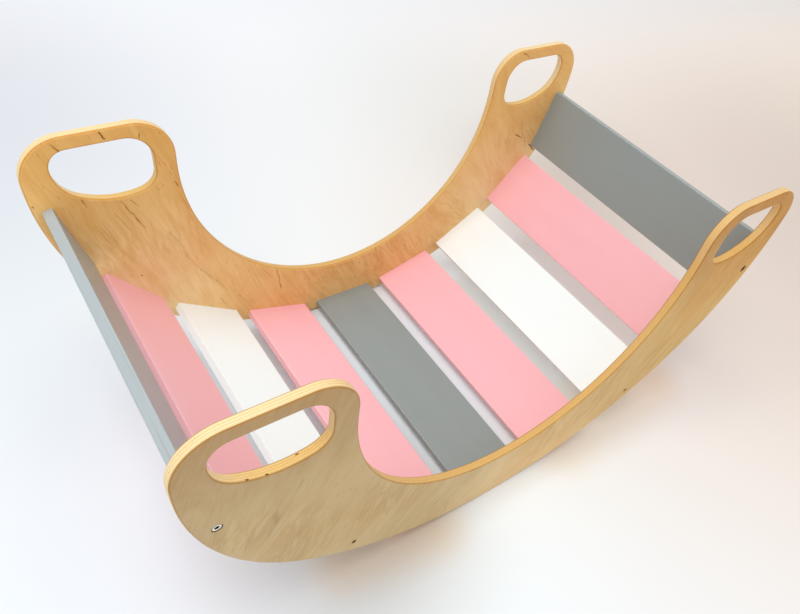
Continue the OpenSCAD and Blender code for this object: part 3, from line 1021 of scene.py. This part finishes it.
side_panel(-1, birch_plywood("birch_plywood_front", FRONT_PANEL))
side_panel(1, birch_plywood("birch_plywood_rear", REAR_PANEL))
paints = {tint: slat_paint(f"satin_{tint}", **look) for tint, look in PAINTS.items()}
for number, tint in COLOURS.items():
    slat_board(number, paints[tint], f"paint_{tint}")
nickel = turned_metal("nickel_plate", 1, **NICKEL)
yellow_zinc = turned_metal("yellow_zinc", 3, **YELLOW_ZINC)
screws("connector_screws_turned", "connector_screws", CONN, (1, 9), nickel, "screw_steel")
screws("slim_screws_turned", "slim_screws", SLIM, (3, 7), yellow_zinc, "screw_brass")
dowel_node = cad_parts["dowels"]
dowel_node.data.materials.clear()
dowel_node.data.materials.append(dowel_beech("dowel_beech"))

# ---------------------------------------------------------------- floor, light and camera

FLOOR_SIZE = 12.0
FLOOR_CELLS = 60
FLOOR_BEND_Y = 3.5
FLOOR_RISE = 2.5
# tones of the sheet: along X, painted light close to the arch, a painted warm shadow round the arch's right
# end centred far to the right, along Y and far off
FLOOR_LEFT_TO_RIGHT = (-0.44, 1.3), seen(233, 240, 245), seen(255, 241, 229)
FLOOR_LIT_UNDER_ARCH = (0.05, 0.50), seen(243, 251, 255)
FLOOR_RIGHT_SHADOW_PLACE = (1.14, -0.17)
FLOOR_WARM_SHADOW = (0.1, 1.3), seen(225, 211, 201)
FLOOR_BEHIND = (0.3, 1.6), seen(248, 251, 255)
FLOOR_FAR = (2.1, 3.6), seen(246, 247, 248)
# painted shade round a place, and painted shadows along a line between two places: how far each reaches,
# and its tone
FLOOR_SHADES = {
    "far left": ((-0.61, 1.03), (0.1, 1.0), (230, 229, 232)),
    "behind": ((0.60, 0.68), (0.05, 0.60), (246, 249, 249)),
    "beside the left end": ((-0.41, 0.20), (0.02, 0.20), (248, 249, 250)),
    "in the lee of the right end": ((0.66, 0.34), (0.0, 0.38), (234, 230, 227)),
    "under the left shoulder": ((-0.22, -0.155), (0.02, 0.28), (226, 222, 219)),
}
FLOOR_SHADOW_STRIPS = {
    "under the front panel, left": ((-0.23, -0.20), (-0.11, -0.22), (0.0, 0.075), (250, 230, 208)),
    "under the front panel, right": ((0.14, -0.20), (0.36, -0.185), (0.01, 0.09), (249, 236, 219)),
    "beside slat 7": ((0.222, -0.14), (0.222, 0.13), (0.0, 0.05), (245, 245, 239)),
}
FLOOR_BOUNCE = seen(238, 238, 238)
ROOM_BRIGHT_SIDE = (0.894, -0.447, 0.0)
ROOM_STRENGTH = (0.40, 1.04)
WHITE_LIGHT = (1.0, 1.0, 1.0)
LAMP_PLACE = (-1.2, -0.15, 2.8)
LAMP_TARGET = (0, 0, 0.1)
LAMP_SIZE = 2.0
LAMP_POWER = 48


def floor_tint(f, x, y):
    """Tone of the sheet by its place: broad tones first, with painted light under the arch and a painted warm
    shadow round its right end, then painted shade round places and painted shadows along strips.
    """
    from_middle = f.away(x, y, (0, 0))
    along_x, left, right = FLOOR_LEFT_TO_RIGHT
    tone = f.blend(f.within(x, *along_x), left, right)
    # painted light on the floor under the arch
    reach, under = FLOOR_LIT_UNDER_ARCH
    tone = f.blend(f.near(from_middle, *reach), tone, under)
    # painted warm shadow round the arch's right end
    reach, warm = FLOOR_WARM_SHADOW
    tone = f.blend(f.near(f.away(x, y, FLOOR_RIGHT_SHADOW_PLACE), *reach), tone, warm)
    reach, behind = FLOOR_BEHIND
    tone = f.blend(f.within(y, *reach), tone, behind)
    # painted shade round places
    for middle, reach, shade in FLOOR_SHADES.values():
        tone = f.tint(f.near(f.away(x, y, middle), *reach), tone, seen(*shade))
    # painted shadows along strips
    for start, end, reach, shade in FLOOR_SHADOW_STRIPS.values():
        tone = f.tint(f.near(f.from_line(x, y, start, end), *reach), tone, seen(*shade))
    reach, far = FLOOR_FAR
    return f.blend(f.within(from_middle, *reach), tone, far)


def studio_floor():
    """A pale sheet: flat under the arch and curved up behind it, as height = rise x (distance beyond the
    bend)^2. The eye and reflections see its tones, and what it throws back on the arch is plain."""
    side = np.linspace(-FLOOR_SIZE, FLOOR_SIZE, FLOOR_CELLS + 1)
    x, y = np.meshgrid(side, side)
    beyond = np.clip((y - FLOOR_BEND_Y) / (FLOOR_SIZE - FLOOR_BEND_Y), 0, None)
    points = np.stack([x, y, FLOOR_RISE * beyond**2], -1).reshape(-1, 3)
    number = np.arange(len(points)).reshape(x.shape)
    corners = [number[:-1, :-1], number[:-1, 1:], number[1:, 1:], number[1:, :-1]]
    mesh = bpy.data.meshes.new("studio_floor")
    mesh.from_pydata(points.tolist(), [], np.stack(corners, -1).reshape(-1, 4).tolist())
    mesh.shade_smooth()
    made = bpy.data.objects.new("studio_floor", mesh)
    bpy.context.scene.collection.objects.link(made)
    f = Finish("pale_floor", Roughness=0.85, Specular_IOR_Level=0.2)
    x, y, _ = f.parts(f.place())
    ray = f.node("ShaderNodeLightPath", {}).outputs
    mirrored_or_through = f.calc("MAXIMUM", ray["Is Glossy Ray"], ray["Is Transmission Ray"])
    shown = f.calc("MAXIMUM", ray["Is Camera Ray"], mirrored_or_through)
    f.fill(f.shader, {"Base Color": f.blend(shown, FLOOR_BOUNCE, floor_tint(f, x, y))})
    made.data.materials.append(f.material)


def soft_lamp():
    """A large square lamp above the left end, turned to the arch."""
    lamp = bpy.data.lights.new("overhead", "AREA")
    lamp.shape, lamp.size, lamp.energy, lamp.color = "SQUARE", LAMP_SIZE, LAMP_POWER, WHITE_LIGHT
    made = bpy.data.objects.new("overhead", lamp)
    made.location = LAMP_PLACE
    made.rotation_euler = (Vector(LAMP_TARGET) - Vector(LAMP_PLACE)).to_track_quat("-Z", "Y").to_euler()
    bpy.context.scene.collection.objects.link(made)


def soft_room():
    """White light from all round, whose strength rises with the direction's share of the bright side, to
    the right and towards the viewer."""
    world = bpy.data.worlds.new("studio_room")
    bpy.context.scene.world = world
    world.use_nodes = True
    tree = world.node_tree
    background = tree.nodes["Background"]
    way = tree.nodes.new("ShaderNodeTexCoord")
    toward = tree.nodes.new("ShaderNodeVectorMath")
    toward.operation = "DOT_PRODUCT"
    tree.links.new(way.outputs["Generated"], toward.inputs[0])
    toward.inputs[1].default_value = ROOM_BRIGHT_SIDE
    ramp = tree.nodes.new("ShaderNodeMapRange")
    for key, value in zip(("From Min", "From Max", "To Min", "To Max"), (-1, 1, *ROOM_STRENGTH)):
        ramp.inputs[key].default_value = value
    tree.links.new(toward.outputs["Value"], ramp.inputs["Value"])
    tree.links.new(ramp.outputs[0], background.inputs["Strength"])
    background.inputs["Color"].default_value = (*WHITE_LIGHT, 1)


# lens and sensor in millimetres, and the camera's place and directions as fitted to the photograph's edges
LENS = 30.54
SENSOR_W = 36.0
CLIP = (0.01, 60)
CAMERA_PLACE = (-0.4586, -0.5023, 0.8262)
CAMERA_RIGHT = (0.81216, -0.56576, 0.14254)
CAMERA_UP = (0.33304, 0.65014, 0.68293)
VIEW_SHIFT = (-0.0334, 0.0268)


def camera():
    """The photograph's viewpoint: a short lens close above the front left corner."""
    data = bpy.data.cameras.new("camera")
    data.lens, data.sensor_width = LENS, SENSOR_W
    data.shift_x, data.shift_y = VIEW_SHIFT
    data.clip_start, data.clip_end = CLIP
    made = bpy.data.objects.new("camera", data)
    right, up = Vector(CAMERA_RIGHT).normalized(), Vector(CAMERA_UP).normalized()
    back = right.cross(up).normalized()
    turn = Matrix((right, back.cross(right), back)).transposed().to_4x4()
    made.matrix_world = Matrix.Translation(CAMERA_PLACE) @ turn
    bpy.context.scene.collection.objects.link(made)
    bpy.context.scene.camera = made


studio_floor()
soft_lamp()
soft_room()
camera()
bpy.context.scene.view_settings.view_transform = "Standard"
